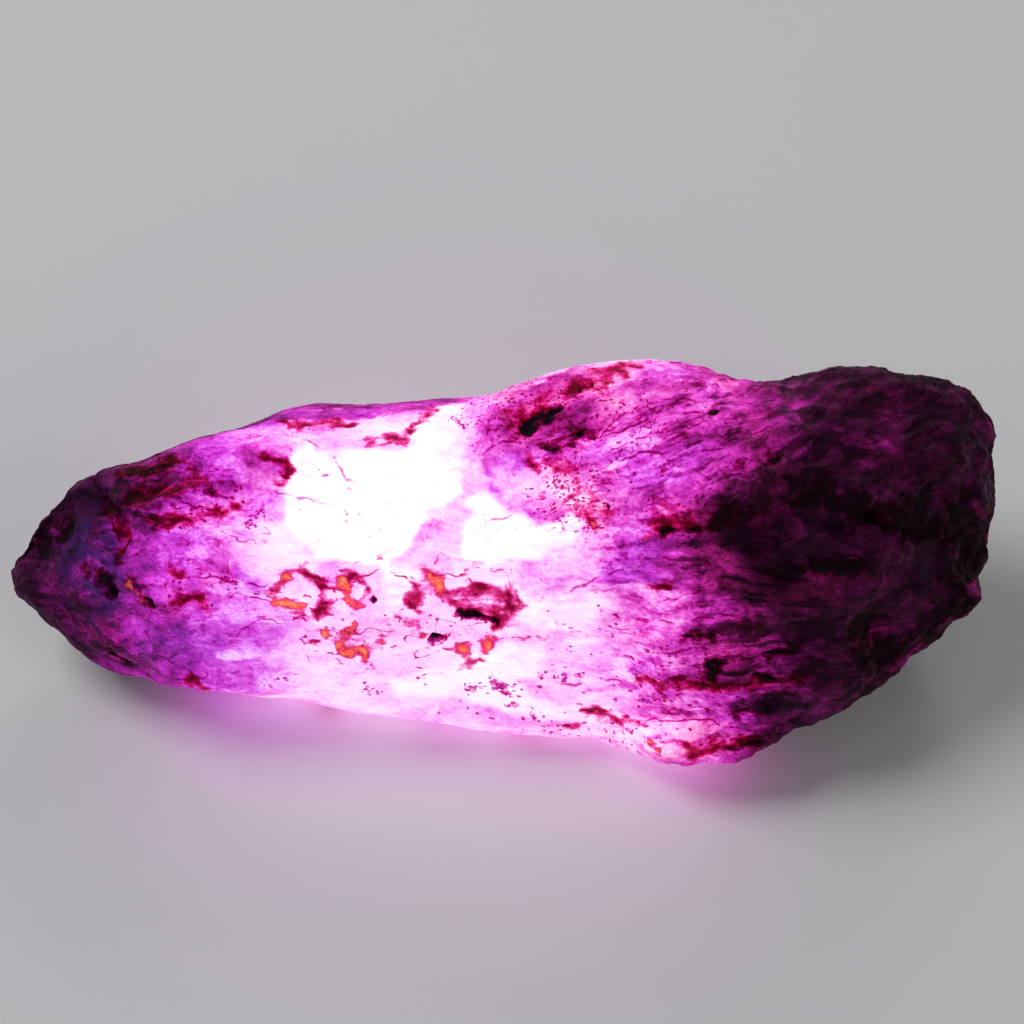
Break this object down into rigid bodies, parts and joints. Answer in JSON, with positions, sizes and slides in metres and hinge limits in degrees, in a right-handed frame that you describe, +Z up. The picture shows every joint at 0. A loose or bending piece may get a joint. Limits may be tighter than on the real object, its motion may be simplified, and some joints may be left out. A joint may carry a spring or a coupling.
{
  "type": "rough sapphire",
  "caption": "Long rough sapphire crystal, pink to violet, pointed at one end and blunt at the other, lying on a flat break",
  "frame": {"origin": "middle of the stone's bounding box in plan, on the flat break that it rests on", "axes": "+X along the crystal from its pointed end to its blunt end, +Z up; the broad face looks up and towards -Y"},
  "size_m": [0.0522, 0.021, 0.0169],
  "materials": {
    "sapphire": "rough broken corundum crystal, cloudy and translucent, pink-violet with a pale middle, dark purple ends, red-brown iron stain in its cracks and black specks"
  },
  "bodies": {
    "root": {"sapphire": "sapphire"}
  },
  "joints": []
}
